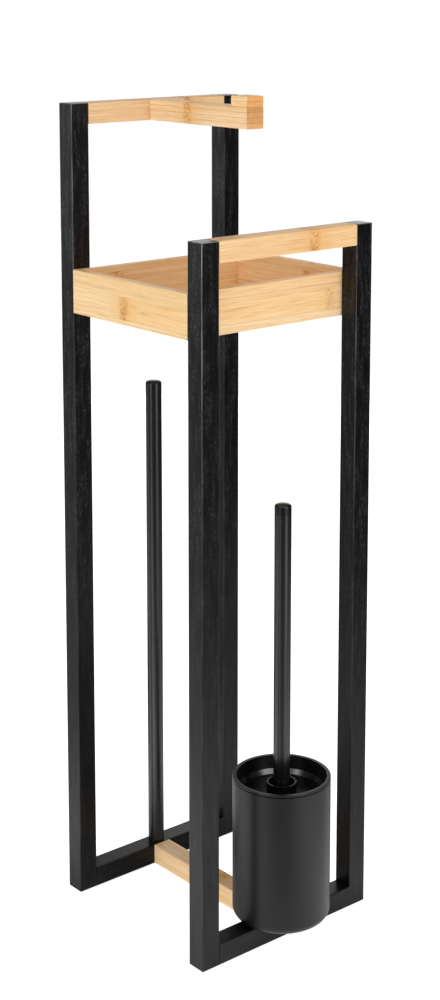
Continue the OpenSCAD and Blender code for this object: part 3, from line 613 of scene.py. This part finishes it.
def makeZinc(name):
    facts = zinc
    material, tree = newMaterial(name)
    place = addNode(tree, "ShaderNodeTexCoord")
    patches = addNode(tree, "ShaderNodeTexNoise", {"Scale": 1 / (facts["patchMm"] * mm), "Detail": 3.0},
                      {"Vector": place.outputs["Object"]})
    ramp = addNode(tree, "ShaderNodeValToRGB", links={0: patches})
    setRamp(ramp, ((facts["darkTo"], facts["dark"]), (facts["lightFrom"], facts["light"])))
    roughness = addNode(tree, "ShaderNodeMapRange",
                        {3: facts["roughness"] - facts["smoother"], 4: facts["roughness"] + facts["rougher"]},
                        {0: patches})
    shader = addNode(tree, "ShaderNodeBsdfPrincipled", {"Metallic": 1.0},
                     {"Base Color": ramp, "Roughness": roughness})
    addNode(tree, "ShaderNodeOutputMaterial", links={"Surface": shader})
    return material


powderCoat = makeFinish("powderCoatedSteel")
enamel = makeFinish("stoveEnamelledSteel")
polypropylene = makeFinish("mouldedPolypropylene")
polishedAbs = makeFinish("polishedAbs")
tumbledAbs = makeFinish("tumbledAbs")
rubber = makeFinish("pressedRubber")
nylon = makeFinish("drawnNylon")
beech = makeFinish("turnedBeech")
zincPlate = makeZinc("zincPlatedSteel")
print("plain finishes ready")


def dress(nodeName, material):
    # a carried-over CAD piece gets its finish
    mesh = cadNodes[nodeName].data
    mesh.materials.clear()
    mesh.materials.append(material)


# Posts and bottom rails
barShiftMm = (31, 17, 120)               # from one bar to the next, so that no two look alike
# each bar's edges are painted grey, partly as rubbed wear and partly as painted highlight, more towards its
# high end
stainedBars = [
    dict(nodeName="rear_left_post", grain="z", wornAndLit=(0.08, 0.5)),
    dict(nodeName="rear_right_post", grain="z"),
    dict(nodeName="front_left_post", grain="z", wornAndLit=(0.12, 0.85)),
    dict(nodeName="front_right_post", grain="z", wornAndLit=(0.1, 0.25)),
    dict(nodeName="rear_bottom_rail", grain="x"),
    dict(nodeName="front_bottom_rail", grain="x"),
]
for i, bar in enumerate(stainedBars):
    dress(bar["nodeName"], makeStainedWood(shiftMm=[v * i for v in barShiftMm], **bar))

# Bamboo bars and boards: grain, then the side on which the strips lie one above the other
boardShiftMm = (37, 23, 11)
bambooBoards = [
    dict(nodeName="rear_top_rail", grain="x", strip="z", strips=1, layers=4, knuckles=[(0.72, None)],
         tint="#f2ede8"),
    dict(nodeName="front_top_rail", grain="x", strip="z", strips=1, layers=4, knuckles=[(0.68, None)],
         tint="#f6eee2"),
    dict(nodeName="crossbar", grain="y", strip="z", strips=1, layers=4, knuckles=[(0.45, None)]),
    dict(nodeName="holder_arm", grain="y", strip="x", strips=1, layers=4, knuckles=[(0.60, None)]),
    dict(nodeName="arm_stop", grain="y", strip="x", strips=1, layers=2),
    dict(nodeName="tray_left_wall", grain="y", strip="z", start=0.78, knuckles=[(0.54, 1)], tint="#f8f9f2"),
    dict(nodeName="tray_right_wall", grain="y", strip="z", start=0.40, knuckles=[(0.35, 1)]),
    dict(nodeName="tray_front_wall", grain="x", strip="z", start=0.62, knuckles=[(0.86, 1)],
         depth=0.45, tint="#fdfdfc"),
    dict(nodeName="tray_rear_wall", grain="x", strip="z", start=0.30, knuckles=[(0.20, 1)]),
    dict(nodeName="tray_base", grain="x", strip="y", strips=8, layers=1,
         knuckles=[(0.3, 1), (0.7, 4), (0.45, 6)]),
]
for i, board in enumerate(bambooBoards):
    dress(board["nodeName"], makeBamboo(shiftMm=[v * i for v in boardShiftMm], **board))
for nodeName in ("rail_dowels", "tray_dowels"):
    dress(nodeName, beech)
print("wood ready")

dress("cup_shell", powderCoat)
for nodeName in ("storage_pole", "handle_tube"):
    dress(nodeName, enamel)
for nodeName in ("pole_plug", "cup_liner", "brush_core"):
    dress(nodeName, polypropylene)
dress("splash_lid", polishedAbs)
dress("foot_pads", rubber)
dress("cup_washers", zincPlate)
print("steel, plastic and rubber ready")


def addPiece(name, mesh, material, body, slot, *nodes):
    # a piece made here, which stands for CAD nodes and moves with their body
    mesh.materials.append(material)
    made = bpy.data.objects.new(name, mesh)
    scene.collection.objects.link(made)
    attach(made, body)
    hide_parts(*nodes)


def circlePoints(radius, height, turns, x=0.0, y=0.0):
    angles = [2 * math.pi * k / turns for k in range(turns)]
    return [(x + radius * math.cos(a), y + radius * math.sin(a), height) for a in angles]


# Caps of the pole and the handle: the CAD caps with a domed top, which shows dark with two bright spots
cap = dict(
    turns=64, rings=10,
    domeMm=3.2, domeShare=0.9,           # the dome's height, and the most that it takes of the cap's
    flatness=2.6,                        # 2 makes an ellipse, and more is flatter on top
    wallShare=0.95,                      # of the radius: what lies further out is the cap's wall
    plugMm=1,                            # what lies this far below the wall is the plug in the tube
    sharpAngle=50,
)


def makeCap(nodeName, material, body, slot):
    turns, power = cap["turns"], 2 / cap["flatness"]
    low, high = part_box(nodeName)
    middle = (low + high) / 2
    radius = (high.x - low.x) / 2
    points = [v.co for v in cadNodes[nodeName].data.vertices]
    rounds = [(math.hypot(p.x - middle.x, p.y - middle.y), p.z) for p in points]
    seat = min(z for r, z in rounds if r > cap["wallShare"] * radius)
    plug = max(r for r, z in rounds if z < seat - cap["plugMm"] * mm)
    dome = min(cap["domeMm"] * mm, (high.z - seat) * cap["domeShare"])
    profile = [(plug, low.z), (plug, seat), (radius, seat)]
    for k in range(cap["rings"]):
        angle = math.pi / 2 * k / cap["rings"]
        profile.append((radius * math.cos(angle) ** power, high.z - dome + dome * math.sin(angle) ** power))
    verts, faces = [(middle.x, middle.y, low.z), (middle.x, middle.y, high.z)], []
    for r, z in profile:
        verts += circlePoints(r, z, turns, middle.x, middle.y)
    last = 2 + turns * (len(profile) - 1)
    for k in range(turns):
        j = (k + 1) % turns
        faces += [(0, 2 + j, 2 + k), (1, last + k, last + j)]
        for start in range(2, last, turns):
            faces.append((start + k, start + j, start + turns + j, start + turns + k))
    mesh = bpy.data.meshes.new(nodeName + "_domed")
    mesh.from_pydata(verts, [], faces)
    mesh.shade_smooth()
    mesh.set_sharp_from_angle(angle=math.radians(cap["sharpAngle"]))
    addPiece(nodeName + "_detail", mesh, material, body, slot, nodeName)


makeCap("handle_cap", tumbledAbs, "brush", "gloss_plastic")
makeCap("pole_cap", tumbledAbs, "frame", "black_plastic")
print("caps ready")


# Screws: countersunk heads with a cross recess, in the places of the CAD screws
screw = dict(
    turns=40,                            # corners round a head
    recessShare=0.56,                    # arm of the cross over the head's radius
    recessWideMm=1.3,
    recessDeepMm=1.6,
    recessFootShare=0.45,                # the recess narrows to this at its foot
    rimShare=0.25, neckShare=1.15,       # depth of the head's rim and foot over its overhang
    tipShare=0.10,                       # pointed part of the length
    mergeMm=0.001,                       # CAD corners this close are one
    endMm=0.3,                           # and those this close to an end show how wide it is
)


def loosePieces(nodeName):
    # the corners of each separate solid in a node, in metres
    work = bmesh.new()
    work.from_mesh(cadNodes[nodeName].data)
    bmesh.ops.remove_doubles(work, verts=work.verts, dist=screw["mergeMm"] * mm)
    left, found = set(work.verts), []
    while left:
        group, edge = set(), [left.pop()]
        while edge:
            vert = edge.pop()
            group.add(vert)
            for link in vert.link_edges:
                other = link.other_vert(vert)
                if other in left:
                    left.discard(other)
                    edge.append(other)
        found.append([v.co.copy() for v in group])
    work.free()
    return sorted(found, key=lambda g: tuple(round(min(c[i] for c in g), 5) for i in range(3)))


def screwFacts(points):
    # head centre, direction into the wood, length, head radius and shank radius of one CAD screw
    low = Vector([min(p[i] for p in points) for i in range(3)])
    high = Vector([max(p[i] for p in points) for i in range(3)])
    size = high - low
    axis = max(range(3), key=lambda i: size[i])
    middle = (low + high) / 2

    def widest(at):
        away = [p - middle for p in points if abs(p[axis] - at) < screw["endMm"] * mm]
        for offset in away:
            offset[axis] = 0
        return max(offset.length for offset in away)

    upper, lower = widest(high[axis]), widest(low[axis])
    head = middle.copy()
    head[axis] = high[axis] if upper > lower else low[axis]
    into = Vector([0, 0, 0])
    into[axis] = -1 if upper > lower else 1
    return head, into, size[axis], max(upper, lower), min(upper, lower)


def buildScrew(work, head, into, length, headR, shankR):
    # the head's top faces +Z here, then the whole is turned to where it belongs
    turns = screw["turns"]
    arm, half = headR * screw["recessShare"], screw["recessWideMm"] * mm / 2
    cross = [(arm, -half), (arm, half), (half, half), (half, arm), (-half, arm), (-half, half),
             (-arm, half), (-arm, -half), (-half, -half), (-half, -arm), (half, -arm), (half, -half)]
    foot, deep = screw["recessFootShare"], screw["recessDeepMm"] * mm
    start = len(work.verts)

    def ring(radius, height):
        return [work.verts.new(point) for point in circlePoints(radius, height, turns)]

    def join(upper, lower):
        for k in range(len(upper)):
            j = (k + 1) % len(upper)
            work.faces.new((upper[k], lower[k], lower[j], upper[j]))

    rim = ring(headR, 0)
    mouth = [work.verts.new((x, y, 0)) for x, y in cross]
    floor = [work.verts.new((x * foot, y * foot, -deep)) for x, y in cross]
    join(mouth, floor)
    work.faces.new(floor)
    outline = [work.edges.new((rim[k], rim[(k + 1) % turns])) for k in range(turns)]
    outline += [work.edges.get((mouth[k], mouth[(k + 1) % len(mouth)])) for k in range(len(mouth))]
    bmesh.ops.triangle_fill(work, edges=outline, use_beauty=True, normal=(0, 0, 1))
    lip = ring(headR, -screw["rimShare"] * (headR - shankR))
    neck = ring(shankR, -screw["neckShare"] * (headR - shankR))
    shoulder = ring(shankR, -length * (1 - screw["tipShare"]))
    join(rim, lip)
    join(lip, neck)
    join(neck, shoulder)
    tip = work.verts.new((0, 0, -length))
    for k in range(turns):
        work.faces.new((shoulder[k], tip, shoulder[(k + 1) % turns]))
    work.verts.ensure_lookup_table()
    turn = Vector((0, 0, -1)).rotation_difference(into).to_matrix().to_4x4()
    bmesh.ops.transform(work, matrix=Matrix.Translation(head) @ turn, verts=work.verts[start:])


def makeScrews(nodeName, body):
    work = bmesh.new()
    for points in loosePieces(nodeName):
        buildScrew(work, *screwFacts(points))
    bmesh.ops.recalc_face_normals(work, faces=work.faces)
    mesh = bpy.data.meshes.new(nodeName + "_heads")
    work.to_mesh(mesh)
    work.free()
    addPiece(nodeName + "_detail", mesh, zincPlate, body, "zinc_steel", nodeName)


for nodeName in ("crossbar_screws", "arm_screws", "pole_screw", "cup_screws"):
    makeScrews(nodeName, "frame")
print("screws ready")


# Brush head: tufts of nylon filament set into the core, trimmed to a rounded outline
tufts = dict(
    rings=17, perRing=18, endRings=(1, 6, 12, 17),
    # filaments are about 0.25 mm thick, too fine to show, so fewer and thicker ones are drawn
    filaments=11, filamentMm=0.5,
    pointShare=0.85,                     # a filament's tip over its thickness
    bowMm=0.6,                           # and the most that it bows
    holeMm=1.1,                          # a tuft's roots lie this close to its middle
    splayMm=2.3,                         # and its tips this close
    lengthMm=0.8,                        # tips are uneven by this
    sunkMm=1,                            # roots are set this deep in the core
    rootLowMm=3, rootHighMm=2,           # side rings keep this far from the core's foot and the bristles' top
    lowTipShare=0.95,                    # height of the lowest side ring's tips over the end's rounding
    endRoundShare=1 / 3, topRoundShare=1 / 6,        # rounding of the outline over its radius
    fanAngle=62,                         # degrees that the tips' outline leans where the end meets the side
    fanGap=0.6,                          # the end rings stop this many ring steps short of there
    sideTurn=1 / 2, endTurn=1 / 3,       # each ring is turned against the last by this part of a tuft's step
    seed=5,
)


def acrossFrom(ahead):
    # two directions across a filament's own
    side = ahead.orthogonal().normalized()
    return side, ahead.cross(side)


def buildTufts(facts):
    chance = random.Random(facts["seed"])
    low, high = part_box("bristles")
    coreLow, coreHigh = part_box("brush_core")
    middle = Vector(((low.x + high.x) / 2, (low.y + high.y) / 2, 0))
    outerR = (high.x - low.x) / 2
    endR, topR = outerR * facts["endRoundShare"], outerR * facts["topRoundShare"]
    coreR = (coreHigh.x - coreLow.x) / 2
    thick, sunk = facts["filamentMm"] / 2 * mm, facts["sunkMm"] * mm
    verts, faces = [], []

    def outlineAt(z):
        below = max(low.z + endR - z, 0)
        above = max(z - high.z + topR, 0)
        return outerR - endR + math.sqrt(endR ** 2 - min(below, endR) ** 2) \
            - topR + math.sqrt(topR ** 2 - min(above, topR) ** 2)

    def addFilament(root, tip, sag):
        # three sides, in two lengths, so that it can bow a little
        side, across = acrossFrom((tip - root).normalized())
        bow = (root + tip) / 2 + side * sag
        start = len(verts)
        for at, wide in ((root, 1.0), (bow, 1.0), (tip, facts["pointShare"])):
            for k in range(3):
                angle = 2 * math.pi * k / 3
                verts.append(at + (side * math.cos(angle) + across * math.sin(angle)) * thick * wide)
        for step in (0, 3):
            for k in range(3):
                j = (k + 1) % 3
                faces.append((start + step + k, start + step + j, start + step + 3 + j, start + step + 3 + k))
        faces.append((start + 6, start + 7, start + 8))
        faces.append((start + 2, start + 1, start))

    def addTuft(root, tip):
        ahead = (tip - root).normalized()
        side, across = acrossFrom(ahead)
        for _ in range(facts["filaments"]):
            angle, reach = chance.uniform(0, 2 * math.pi), math.sqrt(chance.random())
            away = (side * math.cos(angle) + across * math.sin(angle)) * reach
            trim = chance.uniform(-1, 0) * facts["lengthMm"] * mm
            addFilament(middle + root + away * facts["holeMm"] * mm,
                        middle + tip + away * facts["splayMm"] * mm + ahead * trim,
                        chance.uniform(-facts["bowMm"], facts["bowMm"]) * mm)

    rings, ends = facts["rings"], facts["endRings"]
    rootSpan = high.z - coreLow.z - (facts["rootLowMm"] + facts["rootHighMm"]) * mm
    tipLow = endR * facts["lowTipShare"]
    for i in range(rings):
        up = i / (rings - 1)
        rootZ = coreLow.z + facts["rootLowMm"] * mm + up * rootSpan
        tipZ = low.z + tipLow + up * (high.z - low.z - tipLow - facts["splayMm"] * mm)
        for k in range(facts["perRing"]):
            angle = 2 * math.pi * (k + i % 2 * facts["sideTurn"]) / facts["perRing"]
            out = Vector((math.cos(angle), math.sin(angle), 0))
            addTuft(out * (coreR - sunk) + Vector((0, 0, rootZ)),
                    out * (outlineAt(tipZ) - thick) + Vector((0, 0, tipZ)))
    for j, count in enumerate(ends):
        share = j / (len(ends) - 1 + facts["fanGap"])
        lean = math.radians(share * facts["fanAngle"])
        tipR = share * (outerR - endR) + endR * math.sin(lean)
        tipZ = low.z + endR * (1 - math.cos(lean)) + thick
        for k in range(count):
            angle = 2 * math.pi * (k + j * facts["endTurn"]) / count
            out = Vector((math.cos(angle), math.sin(angle), 0))
            addTuft(out * share * coreR + Vector((0, 0, coreLow.z + sunk)),
                    out * tipR + Vector((0, 0, tipZ)))
    mesh = bpy.data.meshes.new("bristleTufts")
    mesh.from_pydata(verts, [], faces)
    mesh.validate()
    return mesh


tuftMesh = buildTufts(tufts)
addPiece("bristle_tufts", tuftMesh, nylon, "brush", "bristle_plastic", "bristles")
print("bristle tufts ready:", len(tuftMesh.polygons), "faces")
